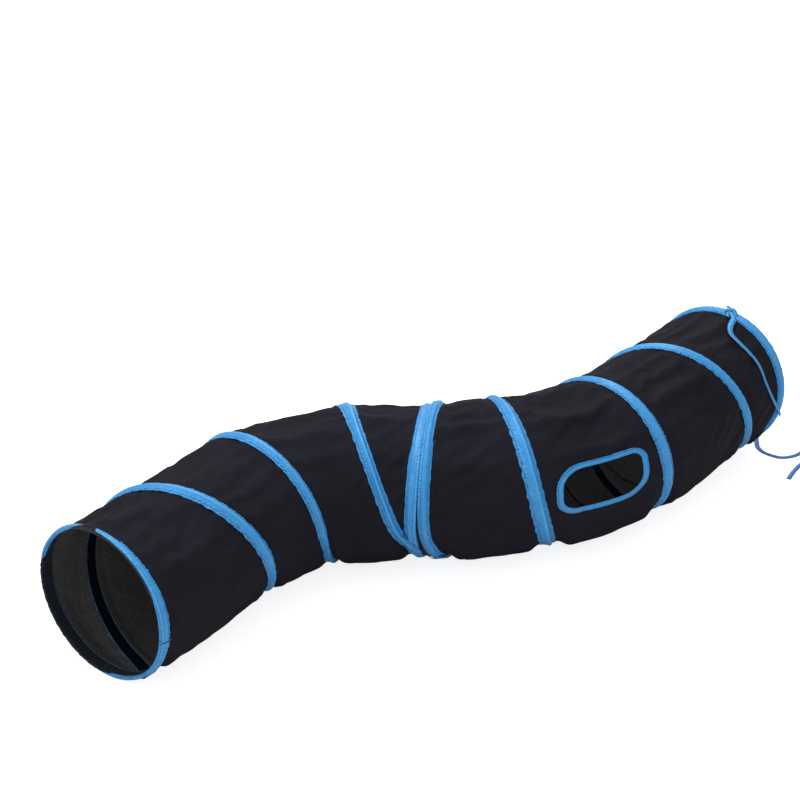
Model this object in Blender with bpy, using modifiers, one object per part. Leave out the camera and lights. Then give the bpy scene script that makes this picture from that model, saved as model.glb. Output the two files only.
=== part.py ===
"""A collapsible agility tunnel: a fabric tube on two spring-steel coils, standing in a shallow S.

Units are metres, +Z is up and the floor is z = 0. The world origin is on the floor under the
coil ring that ends the front section. Sizes along the tunnel are distances along its centreline,
measured from the free lip of the section: the front mouth, or the lip at the centre seam.
"""

import math

import bmesh
import bpy
from mathutils import Matrix, Vector

MM = 0.001
GAP = 0.3 * MM

# The tube
RIDGE_RADIUS = 125 * MM  # over the tape where it covers the wire
FACETS = 24  # flats round every round piece, with one flat on the floor
FACET_HALF_ANGLE = math.pi / FACETS
AXIS_HEIGHT = RIDGE_RADIUS * math.cos(FACET_HALF_ANGLE)
FABRIC_RADIUS = 119.6 * MM
FABRIC_THICKNESS = 1.0 * MM
ARC_STEPS = 3  # rings along a bent fabric panel

# The spring-steel coil and its crimp sleeves
WIRE_RADIUS = 1.1 * MM
WIRE_PATH_RADIUS = 122.2 * MM
CRIMP_RADIUS = 1.8 * MM
CRIMP_WALL = 0.35 * MM
CRIMP_LENGTH = 16 * MM

# The binding tape: flat against the fabric at both edges, lifted over the wire
TAPE_WIDTH = 20 * MM
TAPE_THICKNESS = 0.6 * MM
TAPE_EDGE_RADIUS = 120.6 * MM
RIDGE_HALF_WIDTH = 2.2 * MM

# The centreline in plan, as arcs of (length, turn to the left in degrees)
CENTRE_HEADING = -12.1
FRONT_ARCS = ((238 * MM, 5.3), (158 * MM, -19.8), (127 * MM, -34.5), (108 * MM, 12.4))
REAR_ARCS = ((143 * MM, 1.4), (155 * MM, 26.2), (123 * MM, 12.1), (229 * MM, 0.0))
SEAM_GAP = 6.0 * MM  # between the two lips at the centre seam
SEAM_LEAN = -21.0  # the turn of the rings at the seam against the line of the tunnel there

# Where the coil crosses the floor line, the top and the near side, turn by turn
TURN_MARKS = (0, 0.5, 0.75, 1, 1.5, 1.75, 2, 2.5, 2.75, 3)
FRONT_COIL = (18, 156, 231, 314, 338, 383, 487, 513, 580, 606)
REAR_COIL = (22, 119, 144, 192, 303, 327, 362, 471, 539, 624)

# The peephole in the near side of the rear section
PEEPHOLE_CENTRE = 228 * MM
PEEPHOLE_ANGLE = math.radians(170)
PEEPHOLE_LENGTH = 104 * MM
PEEPHOLE_HEIGHT = 64 * MM
PEEPHOLE_CORNER = 20 * MM
PEEPHOLE_BINDING = 10 * MM
PEEPHOLE_POINTS = 40
BINDING_RADII = (120.1 * MM, 121.0 * MM)

# The tie ribbons on the rear mouth
RIBBON_WIDTH = 8 * MM
RIBBON_THICKNESS = 1.0 * MM
KNOT_SIZE = (9 * MM, 14 * MM, 5 * MM)
KNOT_ANGLE = math.radians(95)

# How far each section closes: the share of its length that stays when it is squeezed flat
CLOSED_SHARE = 0.08

BLACK_FABRIC = (0.013, 0.013, 0.017, 1)
BLUE_TAPE = (0.058, 0.254, 0.539, 1)
SPRING_STEEL = (0.42, 0.43, 0.45, 1)
ZINC = (0.6, 0.6, 0.62, 1)


def walk(arcs, distance):
    """The frame on the centreline at a distance from the start of the arcs: +X ahead, +Y left."""
    left = distance
    frame = Matrix.Identity(4)
    for length, turn_degrees in arcs:
        step = min(left, length)
        turn = math.radians(turn_degrees) * step / length
        shift = Vector((step, 0, 0))
        if abs(turn) > 1e-9:
            radius = step / turn
            shift = Vector((radius * math.sin(turn), radius * (1 - math.cos(turn)), 0))
        frame = frame @ Matrix.Translation(shift) @ Matrix.Rotation(turn, 4, "Z")
        left -= step
    return frame


class Section:
    """Half of the tunnel: its place in the world, its arcs, its coil and where it is cut."""

    def __init__(self, arcs, coil, start, seam_first):
        self.arcs = arcs
        self.start = start
        self.seam_first = seam_first
        self.length = sum(length for length, turn in arcs)
        self.coil_marks = [mark * MM for mark in coil]
        borders = [arcs[0][0], arcs[0][0] + arcs[1][0], self.length - arcs[3][0]]
        self.cuts = [TAPE_WIDTH] + borders + [self.length - TAPE_WIDTH]

    def lean(self, distance):
        """The turn of a cross-section against the centreline: it grows towards the seam."""
        if self.seam_first:
            share = (self.cuts[1] - distance) / (self.cuts[1] - self.cuts[0])
        else:
            share = (distance - self.cuts[-2]) / (self.cuts[-1] - self.cuts[-2])
        return math.radians(SEAM_LEAN) * min(max(share, 0), 1)

    def frame(self, distance):
        """A cross-section's frame. The strip under a ring's tape runs straight out from it."""
        nearest = min(max(distance, self.cuts[0]), self.cuts[-1])
        leaning = walk(self.arcs, nearest) @ Matrix.Rotation(self.lean(nearest), 4, "Z")
        return self.start @ leaning @ Matrix.Translation((distance - nearest, 0, 0))

    def point(self, distance, angle, radius):
        """A point by its distance along, its angle from the far side over the top, and its radius."""
        across = radius * math.cos(angle)
        up = radius * math.sin(angle)
        return self.frame(distance) @ Vector((0, across, up))

    def coil_distance(self, turn):
        """How far along the coil is after so many turns from the floor, by a monotone cubic."""
        marks = self.coil_marks
        slopes = [
            (marks[i + 1] - marks[i]) / (TURN_MARKS[i + 1] - TURN_MARKS[i])
            for i in range(len(marks) - 1)
        ]
        knots = [slopes[0]]
        for before, after in zip(slopes, slopes[1:]):
            knots.append(2 * before * after / (before + after))
        knots.append(slopes[-1])
        i = max(k for k in range(len(slopes)) if TURN_MARKS[k] <= turn or k == 0)
        width = TURN_MARKS[i + 1] - TURN_MARKS[i]
        u = (turn - TURN_MARKS[i]) / width
        return (
            marks[i] * (1 + 2 * u) * (1 - u) ** 2
            + marks[i + 1] * u * u * (3 - 2 * u)
            + width * knots[i] * u * (1 - u) ** 2
            - width * knots[i + 1] * u * u * (1 - u)
        )

    def coil_turn(self, distance):
        """The turn at which the coil reaches a distance, by bisection."""
        low, high = 0.0, 3.0
        for _ in range(50):
            middle = (low + high) / 2
            if self.coil_distance(middle) < distance:
                low = middle
            else:
                high = middle
        return (low + high) / 2


def turn_angle(turn):
    """Turns are counted from the floor line, up the far side and down the near side."""
    return math.tau * turn - math.pi / 2


def facet_turns(first, last):
    """The two ends, and every facet corner between them."""
    least = 0.1 / FACETS
    corners = [(k + 0.5) / FACETS for k in range(math.ceil(last * FACETS))]
    return [first] + [t for t in corners if first + least < t < last - least] + [last]


def clear_scene():
    for item in list(bpy.data.objects):
        bpy.data.objects.remove(item)


def collection(name, parent):
    made = bpy.data.collections.new(name)
    parent.children.link(made)
    return made


def material(name, colour, roughness, metallic):
    made = bpy.data.materials.new(name)
    made.use_nodes = True
    shader = made.node_tree.nodes["Principled BSDF"]
    shader.inputs["Base Color"].default_value = colour
    shader.inputs["Roughness"].default_value = roughness
    shader.inputs["Metallic"].default_value = metallic
    return made


def finish(item, body, colour, roughness=0.75, metallic=0.0):
    """Gives a piece its own material, files it with the parts and hangs it on its body's empty."""
    for owner in list(item.users_collection):
        owner.objects.unlink(item)
    parts.objects.link(item)
    item.data.materials.append(material(item.name + "_finish", colour, roughness, metallic))
    item.parent = body
    item.matrix_parent_inverse = body.matrix_world.inverted()
    return item


def body_empty(name, place):
    """The empty that a rigid body hangs on, standing on the axis of the body's joint."""
    empty = bpy.data.objects.new(name, None)
    empty.empty_display_size = 30 * MM
    empty.matrix_world = Matrix.Translation(place)
    parts.objects.link(empty)
    return empty


def mesh_object(name, shape):
    bmesh.ops.recalc_face_normals(shape, faces=shape.faces)
    data = bpy.data.meshes.new(name)
    shape.to_mesh(data)
    shape.free()
    item = bpy.data.objects.new(name, data)
    parts.objects.link(item)
    return item


def loft(name, loops, closed):
    """A solid through profiles of equal length: joined end to end, or capped at both ends."""
    shape = bmesh.new()
    rings = [[shape.verts.new(point) for point in loop] for loop in loops]
    count = len(rings[0])
    followers = rings[1:] + ([rings[0]] if closed else [])
    for ring, follower in zip(rings, followers):
        for k in range(count):
            after = (k + 1) % count
            shape.faces.new((ring[k], ring[after], follower[after], follower[k]))
    if not closed:
        shape.faces.new(rings[0][::-1])
        shape.faces.new(rings[-1])
    return mesh_object(name, shape)


def wire(name, points):
    """Round spring-steel wire along straight runs between the points."""
    path = bpy.data.curves.new(name, "CURVE")
    path.dimensions = "3D"
    path.bevel_depth = WIRE_RADIUS
    path.bevel_resolution = 2
    path.use_fill_caps = True
    spline = path.splines.new("POLY")
    spline.points.add(len(points) - 1)
    for slot, point in zip(spline.points, points):
        slot.co = (*point, 1)
    return bpy.data.objects.new(name, path)


def tube_panel(name, section, first, last, steps):
    """A stretch of fabric tube: open rings bridged into a skin, thickened inwards."""
    shape = bmesh.new()
    for k in range(steps + 1):
        along = first + (last - first) * k / steps
        place = section.frame(along) @ Matrix.Rotation(math.pi / 2, 4, "Y")
        place = place @ Matrix.Rotation(FACET_HALF_ANGLE, 4, "Z")
        bmesh.ops.create_circle(shape, segments=FACETS, radius=FABRIC_RADIUS, matrix=place)
    shape.edges.ensure_lookup_table()
    rings = [shape.edges[k * FACETS:(k + 1) * FACETS] for k in range(steps + 1)]
    for near, far in zip(rings, rings[1:]):
        bmesh.ops.bridge_loops(shape, edges=near + far)
    panel = mesh_object(name, shape)
    thickness = panel.modifiers.new("Thickness", "SOLIDIFY")
    thickness.thickness = FABRIC_THICKNESS
    thickness.use_even_offset = True
    return panel


def tape_profile(section, along, angle):
    """The tape's cross-section, from one edge over the ridge to the other and back underneath."""
    half = TAPE_WIDTH / 2
    outer_edge = TAPE_EDGE_RADIUS + TAPE_THICKNESS
    inner_ridge = RIDGE_RADIUS - TAPE_THICKNESS
    inner_half = RIDGE_HALF_WIDTH - TAPE_THICKNESS / 2
    outline = (
        (-half, outer_edge),
        (-RIDGE_HALF_WIDTH, RIDGE_RADIUS),
        (RIDGE_HALF_WIDTH, RIDGE_RADIUS),
        (half, outer_edge),
        (half, TAPE_EDGE_RADIUS),
        (inner_half, inner_ridge),
        (-inner_half, inner_ridge),
        (-half, TAPE_EDGE_RADIUS),
    )
    return [section.point(along + offset, angle, radius) for offset, radius in outline]


def coil_tape(name, section, first_turn, last_turn):
    trim = GAP / 2 / (math.tau * TAPE_EDGE_RADIUS)
    turns = facet_turns(first_turn + trim, last_turn - trim)
    profiles = [tape_profile(section, section.coil_distance(t), turn_angle(t)) for t in turns]
    return loft(name, profiles, closed=False)


def coil_wire(name, section, first_turn, last_turn):
    trim = GAP / (math.tau * WIRE_PATH_RADIUS)
    turns = facet_turns(first_turn + trim, last_turn - trim)
    places = [section.point(section.coil_distance(t), turn_angle(t), WIRE_PATH_RADIUS) for t in turns]
    return wire(name, places)


def ring_tape(name, section, along):
    turns = [(k + 0.5) / FACETS for k in range(FACETS)]
    return loft(name, [tape_profile(section, along, turn_angle(t)) for t in turns], closed=True)


def ring_wire(name, section, along):
    """One closed turn of the wire, whose two ends meet on the floor side."""
    low = section.point(along, -math.pi / 2, WIRE_PATH_RADIUS * math.cos(FACET_HALF_ANGLE))
    aside = section.frame(along).to_3x3() @ Vector((0, GAP, 0))
    corners = [turn_angle((k + 0.5) / FACETS) for k in range(FACETS)]
    places = [section.point(along, angle, WIRE_PATH_RADIUS) for angle in corners]
    return wire(name, [low + aside] + places + [low - aside])


def crimp_sleeve(name, section, along):
    """A short tube pressed over the two ends of a ring of wire."""
    height = WIRE_PATH_RADIUS * math.cos(FACET_HALF_ANGLE)
    bpy.ops.mesh.primitive_cylinder_add(
        vertices=12, radius=CRIMP_RADIUS, depth=CRIMP_LENGTH, end_fill_type="NOTHING"
    )
    sleeve = bpy.context.object
    sleeve.name = name
    place = section.frame(along) @ Matrix.Translation((0, 0, -height))
    sleeve.matrix_world = place @ Matrix.Rotation(math.pi / 2, 4, "X")
    wall = sleeve.modifiers.new("Wall", "SOLIDIFY")
    wall.thickness = CRIMP_WALL
    wall.use_even_offset = True
    return sleeve


def peephole_loop(section, margin, radius):
    """Points round the peephole, moved out by a margin and laid on a radius of the tube."""
    corner = PEEPHOLE_CORNER + margin
    half_length = PEEPHOLE_LENGTH / 2 + margin - corner
    half_height = PEEPHOLE_HEIGHT / 2 + margin - corner
    sides = (2 * half_height, 2 * half_length, 2 * half_height, 2 * half_length)
    bend = corner * math.pi / 2
    starts = (
        (half_length, -half_height),
        (half_length, half_height),
        (-half_length, half_height),
        (-half_length, -half_height),
    )
    points = []
    per_side = PEEPHOLE_POINTS // 4
    for number, (side, start) in enumerate(zip(sides, starts)):
        facing = number * math.pi / 2
        out = Vector((math.cos(facing), math.sin(facing)))
        ahead = Vector((-out.y, out.x))
        for k in range(per_side):
            run = (side + bend) * k / per_side
            if run < side:
                spot = Vector(start) + out * corner + ahead * run
            else:
                swing = (run - side) / corner
                middle = Vector(start) + ahead * side
                spot = middle + out * corner * math.cos(swing) + ahead * corner * math.sin(swing)
            angle = PEEPHOLE_ANGLE - spot.y / FABRIC_RADIUS
            points.append(section.point(PEEPHOLE_CENTRE + spot.x, angle, radius))
    return points


def cut_peephole(panel, section):
    inside = peephole_loop(section, 0, FABRIC_RADIUS - 15 * MM)
    outside = peephole_loop(section, 0, FABRIC_RADIUS + 15 * MM)
    cutter = loft("peephole_cutter", [inside, outside], closed=False)
    parts.objects.unlink(cutter)
    cutters.objects.link(cutter)
    cutter.hide_render = True
    cutter.display_type = "WIRE"
    hole = panel.modifiers.new("Peephole", "BOOLEAN")
    hole.operation = "DIFFERENCE"
    hole.solver = "EXACT"
    hole.object = cutter


def peephole_binding(name, section):
    """A flat frame of tape round the peephole, lying just clear of the fabric."""
    low, high = BINDING_RADII
    edges = ((0, low), (PEEPHOLE_BINDING, low), (PEEPHOLE_BINDING, high), (0, high))
    loops = [peephole_loop(section, margin, radius) for margin, radius in edges]
    return loft(name, list(zip(*loops)), closed=True)


def ribbon(name, places, across):
    """A flat ribbon through the places, each with its own width direction and thickness direction."""
    profiles = []
    for place, (width_way, thick_way) in zip(places, across):
        half = width_way * RIBBON_WIDTH / 2
        up = thick_way * RIBBON_THICKNESS
        profiles.append([place - half, place + half, place + half + up, place - half + up])
    return loft(name, profiles, closed=False)


def top_ribbon(name, section):
    """The ribbon that hangs from the knot down the near side, between coil and mouth."""
    along_marks = (640, 624, 606, 592, 593, 596, 598, 598, 599, 606, 617)
    angle_marks = (103, 105, 108, 114, 124, 133, 142, 151, 160, 169, 177)
    radius_marks = (127.6, 127, 125.5, 124, 123, 123, 123, 123, 123, 123, 123)
    places = []
    across = []
    for number, (along, degrees, radius) in enumerate(zip(along_marks, angle_marks, radius_marks)):
        angle = math.radians(degrees)
        place = section.point(along * MM, angle, radius * MM)
        frame = section.frame(along * MM).to_3x3()
        out = frame @ Vector((0, math.cos(angle), math.sin(angle)))
        before = max(number - 1, 0)
        after = min(number + 1, len(along_marks) - 1)
        ahead = section.point(along_marks[after] * MM, math.radians(angle_marks[after]), radius * MM)
        behind = section.point(along_marks[before] * MM, math.radians(angle_marks[before]), radius * MM)
        places.append(place)
        across.append(((ahead - behind).cross(out).normalized(), out))
    return ribbon(name, places, across)


def floor_ribbon(name, section):
    """The ribbon that lies on the floor beside the rear mouth: a loose S, then back again."""
    lip = section.frame(section.length + 1 * MM)
    ahead_marks = (0, 20, 38, 47, 41, 22, 6, -3, -4, 0, 14, 34, 56, 74, 80, 70, 48, 20, -8, -34, -58)
    aside_marks = (
        *(0, -4, -14, -33, -56, -70, -82, -98, -116, -132, -144),
        *(-150, -148, -150, -160, -169, -171, -170, -170, -173, -178),
    )
    places = []
    for ahead, aside in zip(ahead_marks, aside_marks):
        place = lip @ Vector((ahead * MM, aside * MM, 0))
        place.z = GAP
        places.append(place)
    across = []
    for number in range(len(places)):
        before = places[max(number - 1, 0)]
        after = places[min(number + 1, len(places) - 1)]
        across.append((Vector((0, 0, 1)).cross(after - before).normalized(), Vector((0, 0, 1))))
    return ribbon(name, places, across)


def knot(name, place):
    """The knot of a ribbon, a small rounded lump standing on the tape."""
    bpy.ops.mesh.primitive_cube_add(size=1)
    lump = bpy.context.object
    lump.name = name
    lump.data.transform(Matrix.Diagonal((*KNOT_SIZE, 1)))
    lump.matrix_world = place
    soft = lump.modifiers.new("Soft", "SUBSURF")
    soft.levels = 2
    soft.render_levels = 2
    return lump


def station(section, number):
    """The frame half way along a panel, in which the panel is squeezed."""
    return section.frame((section.cuts[number] + section.cuts[number + 1]) / 2)


def squeezed_edge(section, number, side, share):
    """The frame at a panel's edge, seen from its middle, when it keeps a share of its length."""
    middle = station(section, number)
    edge = middle.inverted() @ section.frame(section.cuts[number + side])
    x, y, _ = edge.translation
    turn = edge.to_euler().z
    squeezed = math.atan(share * math.tan(turn))
    return Matrix.Translation((share * x, y, 0)) @ Matrix.Rotation(squeezed, 4, "Z")


def closing_motion(section, number):
    """The move of panel number + 1 against panel number, in the frame of panel number."""
    def relation(share):
        ahead = squeezed_edge(section, number, 1, share)
        behind = squeezed_edge(section, number + 1, 0, share)
        return ahead @ behind.inverted()
    return relation(CLOSED_SHARE) @ relation(1.0).inverted()


def ring_motion(section, number, side):
    """The move of the ring beside an end panel, in the frame of that panel."""
    closed = squeezed_edge(section, number, side, CLOSED_SHARE)
    return closed @ squeezed_edge(section, number, side, 1.0).inverted()


def pivot_of(frame, motion):
    """The world point that a plan motion turns about, or the frame's own place if it only slides."""
    turn = motion.to_euler().z
    if abs(turn) < 1e-6:
        return frame.translation
    shift = motion.translation.to_2d()
    half = 0.5 / math.tan(turn / 2)
    centre = Vector((shift.x / 2 - shift.y * half, shift.y / 2 + shift.x * half, 0))
    return frame @ centre


def ring_pieces(prefix, section, wire_at, hem_from, body):
    finish(ring_wire(prefix + "_ring_wire", section, wire_at), body, SPRING_STEEL, 0.35, 1.0)
    finish(crimp_sleeve(prefix + "_ring_crimp", section, wire_at), body, ZINC, 0.4, 1.0)
    finish(ring_tape(prefix + "_ring_tape", section, wire_at), body, BLUE_TAPE, 0.45)
    hem = tube_panel(prefix + "_hem", section, hem_from, hem_from + TAPE_WIDTH - GAP, 1)
    finish(hem, body, BLACK_FABRIC)


def panel_pieces(prefix, section, number, body):
    """The fabric, wire and tape between two cuts of a section."""
    first, last = section.cuts[number], section.cuts[number + 1]
    turn = (section.frame(first).inverted() @ section.frame(last)).to_euler().z
    steps = ARC_STEPS if abs(turn) > GAP else 1
    panel = tube_panel(prefix + "_fabric", section, first + GAP / 2, last - GAP / 2, steps)
    finish(panel, body, BLACK_FABRIC)
    clear = TAPE_WIDTH / 2 + 2 * GAP
    first_turn = section.coil_turn(max(first, TAPE_WIDTH + clear))
    last_turn = section.coil_turn(min(last, section.length - TAPE_WIDTH - clear))
    spring = coil_wire(prefix + "_coil_wire", section, first_turn, last_turn)
    finish(spring, body, SPRING_STEEL, 0.35, 1.0)
    finish(coil_tape(prefix + "_coil_tape", section, first_turn, last_turn), body, BLUE_TAPE, 0.45)
    return panel


def build_front(section):
    centre = body_empty("centre_front_ring_body", section.frame(section.length).translation)
    ring_pieces("centre_front", section, section.length - TAPE_WIDTH / 2, section.length - TAPE_WIDTH + GAP, centre)
    motion = ring_motion(section, 3, 1).inverted()
    joint = pivot_of(station(section, 3), motion)
    for number in (3, 2, 1, 0):
        body = body_empty(f"front_panel_{number + 1}_body", joint)
        panel_pieces(f"front_panel_{number + 1}", section, number, body)
        if number:
            joint = pivot_of(station(section, number - 1), closing_motion(section, number - 1))
    mouth = body_empty("front_mouth_body", section.frame(TAPE_WIDTH).translation)
    ring_pieces("front_mouth", section, TAPE_WIDTH / 2, 0, mouth)


def build_rear(section):
    seam = body_empty("centre_rear_ring_body", section.frame(-SEAM_GAP / 2).translation)
    ring_pieces("centre_rear", section, TAPE_WIDTH / 2, 0, seam)
    motion = ring_motion(section, 0, 0).inverted()
    joint = pivot_of(station(section, 0), motion)
    for number in range(4):
        body = body_empty(f"rear_panel_{number + 1}_body", joint)
        panel = panel_pieces(f"rear_panel_{number + 1}", section, number, body)
        if section.cuts[number] < PEEPHOLE_CENTRE < section.cuts[number + 1]:
            cut_peephole(panel, section)
            finish(peephole_binding("peephole_binding", section), body, BLUE_TAPE, 0.45)
        if number < 3:
            joint = pivot_of(station(section, number), closing_motion(section, number))
    mouth = body_empty("rear_mouth_body", section.frame(section.cuts[-1]).translation)
    hem_from = section.length - TAPE_WIDTH + GAP
    ring_pieces("rear_mouth", section, section.length - TAPE_WIDTH / 2, hem_from, mouth)
    build_ties(section, mouth)


def build_ties(section, mouth):
    along = section.length - TAPE_WIDTH / 2
    lift = RIDGE_RADIUS + KNOT_SIZE[2] / 2
    upright = Matrix.Rotation(KNOT_ANGLE - math.pi / 2, 4, "X")
    place = section.frame(along) @ upright @ Matrix.Translation((0, 0, lift))
    finish(knot("top_tie_knot", place), mouth, BLUE_TAPE, 0.45)
    top = body_empty("top_tie_body", place.translation)
    finish(top_ribbon("top_tie_ribbon", section), top, BLUE_TAPE, 0.45)
    lip = section.frame(section.length + 1 * MM).translation
    low = body_empty("floor_tie_body", Vector((lip.x, lip.y, GAP)))
    finish(floor_ribbon("floor_tie_ribbon", section), low, BLUE_TAPE, 0.45)


def seam_sleeve(section, body):
    """The short fabric sleeve that joins the two lips."""
    first = section.length + GAP
    sleeve = tube_panel("centre_seam_sleeve", section, first, section.length + SEAM_GAP - GAP, 1)
    finish(sleeve, body, BLACK_FABRIC)


def shade(item):
    if item.type == "MESH":
        item.data.shade_smooth()
        item.data.set_sharp_from_angle(angle=math.radians(35))


clear_scene()
tunnel = collection("agility_tunnel", bpy.context.scene.collection)
parts = tunnel
cutters = collection("cutters", bpy.context.scene.collection)
cutters.hide_render = True

front_length = sum(length for length, turn in FRONT_ARCS)
ring_place = Matrix.Translation((0, 0, AXIS_HEIGHT))
ring_place = ring_place @ Matrix.Rotation(math.radians(CENTRE_HEADING), 4, "Z")
front = Section(FRONT_ARCS, FRONT_COIL, Matrix.Identity(4), seam_first=False)
front.start = ring_place @ front.frame(front_length - TAPE_WIDTH / 2).inverted()
rear = Section(REAR_ARCS, REAR_COIL, Matrix.Identity(4), seam_first=True)
rear.start = front.frame(front_length + SEAM_GAP) @ rear.frame(0).inverted()

build_front(front)
build_rear(rear)
seam_sleeve(front, bpy.data.objects["centre_front_ring_body"])
for piece in tunnel.objects:
    shade(piece)
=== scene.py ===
"""The looks of the collapsible agility tunnel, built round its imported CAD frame.

Every soft piece is made again here as cloth or tape, laid on the same centreline as the CAD part
and on a coil close to its coil, which starts a little earlier. It is then cut at the same planes,
so that it rides and folds with the same bodies.
Units are metres, +Z is up. Distances run along the centreline from the free lip of a section.
"""

import math

import bmesh
import bpy
import numpy as np
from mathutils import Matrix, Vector


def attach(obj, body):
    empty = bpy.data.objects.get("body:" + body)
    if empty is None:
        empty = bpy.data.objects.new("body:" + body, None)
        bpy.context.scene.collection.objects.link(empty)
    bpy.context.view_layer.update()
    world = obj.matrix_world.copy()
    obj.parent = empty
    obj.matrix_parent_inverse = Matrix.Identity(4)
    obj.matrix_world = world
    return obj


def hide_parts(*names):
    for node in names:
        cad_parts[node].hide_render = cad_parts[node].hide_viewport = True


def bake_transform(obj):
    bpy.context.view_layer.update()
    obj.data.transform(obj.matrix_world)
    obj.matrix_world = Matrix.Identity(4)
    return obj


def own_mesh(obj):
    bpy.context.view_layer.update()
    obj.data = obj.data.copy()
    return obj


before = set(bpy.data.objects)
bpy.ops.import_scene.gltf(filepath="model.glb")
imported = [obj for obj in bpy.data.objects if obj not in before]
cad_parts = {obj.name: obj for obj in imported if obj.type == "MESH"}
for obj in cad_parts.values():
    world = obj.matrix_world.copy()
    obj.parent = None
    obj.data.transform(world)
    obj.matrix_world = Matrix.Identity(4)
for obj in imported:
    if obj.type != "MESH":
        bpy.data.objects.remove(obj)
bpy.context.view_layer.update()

MM = 0.001

# The tube: the same driving dimensions as the CAD part
RIDGE_RADIUS = 125 * MM
AXIS_HEIGHT = RIDGE_RADIUS * math.cos(math.pi / 24)
FLOOR_GAP = 0.2 * MM  # no cloth hangs lower than this over the floor
FABRIC_RADIUS = 119.6 * MM
TAPE_WIDTH = 20 * MM
WIRE_RADIUS = 1.1 * MM
WIRE_PATH_RADIUS = 122.2 * MM
CRIMP_RADIUS = 1.8 * MM
CRIMP_LENGTH = 16 * MM
CENTRE_HEADING = math.radians(-12.1)
# Lengths and turns of the arcs, and the lean of the seam: rounded results of a separate program that
# fitted a bent tube to the photograph
FRONT_ARCS = ((238 * MM, 5.3), (158 * MM, -19.8), (127 * MM, -34.5), (108 * MM, 12.4))
REAR_ARCS = ((143 * MM, 1.4), (155 * MM, 26.2), (123 * MM, 12.1), (229 * MM, 0.0))
SEAM_GAP = 6.0 * MM
SLEEVE_RADIUS = 118.9 * MM  # where the seam's sleeve is sewn to both lips
SLEEVE_HANG = 4.0 * MM  # how far its middle hangs towards the floor
SEAM_LEAN = math.radians(-21.0)
CLOSED_SHARE = 0.08
ALLOWANCE = 1.0 * MM  # the least that a cut edge of the cloth is turned inwards

# Where the coil leaves its ring, and where it crosses the floor line, the top and the near side, in
# millimetres along the section. The same program fitted these marks; the first and some late ones
# were moved by hand.
TURN_MARKS = np.array((-0.12, 0, 0.5, 0.75, 1, 1.5, 1.75, 2, 2.5, 2.75, 3))
FRONT_COIL = (10, 56, 156, 231, 314, 338, 383, 491, 513, 584, 694)
REAR_COIL = (8, 28, 119, 144, 192, 303, 327, 362, 471, 539, 630)
COIL_TURNS = 3 - TURN_MARKS[0]

# The peephole in the near side of the rear section
PEEPHOLE_CENTRE = 228 * MM
PEEPHOLE_ANGLE = math.radians(169.3)
PEEPHOLE_LENGTH = 112 * MM
PEEPHOLE_HEIGHT = 67 * MM
PEEPHOLE_CORNERS = (16 * MM, 30 * MM, 20 * MM, 32 * MM)  # from the upper rear corner, going forwards
PEEPHOLE_BINDING = 7 * MM

TAPE_EASE = {"front": 1.1, "rear": 1.0}  # the front coil's tape was sewn a little wider

# How the cloth hangs
SEAM_CLOSING = 3.2 * MM  # how far each centre lip leans over to the other on top
SEAM_OPENING = 9.0 * MM  # how much further away each stands at the floor than on top
SEAM_SWEEP = 13 * MM  # how far the near feet of both centre rings are dragged towards the rear
SEAM_DIP = 7 * MM  # how much lower the top of the front centre ring hangs
SEAM_FADE = 60 * MM
SWEEP_FADE = 130 * MM
NECK_DEPTH = 7 * MM  # how far the cloth draws in on top just behind the front mouth
NECK_ANGLE = math.radians(105)
NECK_WIDTH = 18 * MM
NECK_FADE = 28 * MM
FULLNESS = {"front": 0.8 * MM, "rear": 2.5 * MM}  # how far the cloth stands out between its tapes
BELLY = 7.5 * MM  # how much further it sags out low down
SWAY = 4 * MM  # how far the rear mouth leans out to the near side
SWAY_REACH = 110 * MM
CLOTH_STEP = 5.0 * MM
CLOTH_FRAMES = 24

NORMAL_LAYER = "whole_normal"
STRAND_LAYER = "strand"


def walk(arcs, distance):
    """x, y and heading on the centreline at an array of distances from the start of the arcs."""
    x = np.zeros_like(distance)
    y = np.zeros_like(distance)
    heading = np.zeros_like(distance)
    done = 0.0
    for length, turn_degrees in arcs:
        step = np.clip(distance - done, 0, length)
        turn = math.radians(turn_degrees) * step / length
        chord = step * np.sinc(turn / 2 / math.pi)
        x = x + chord * np.cos(heading + turn / 2)
        y = y + chord * np.sin(heading + turn / 2)
        heading = heading + turn
        done += length
    return x, y, heading


def smooth(share):
    """A share from 0 to 1 that starts and ends gently."""
    share = np.clip(share, 0, 1)
    return share * share * (3 - 2 * share)


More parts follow.
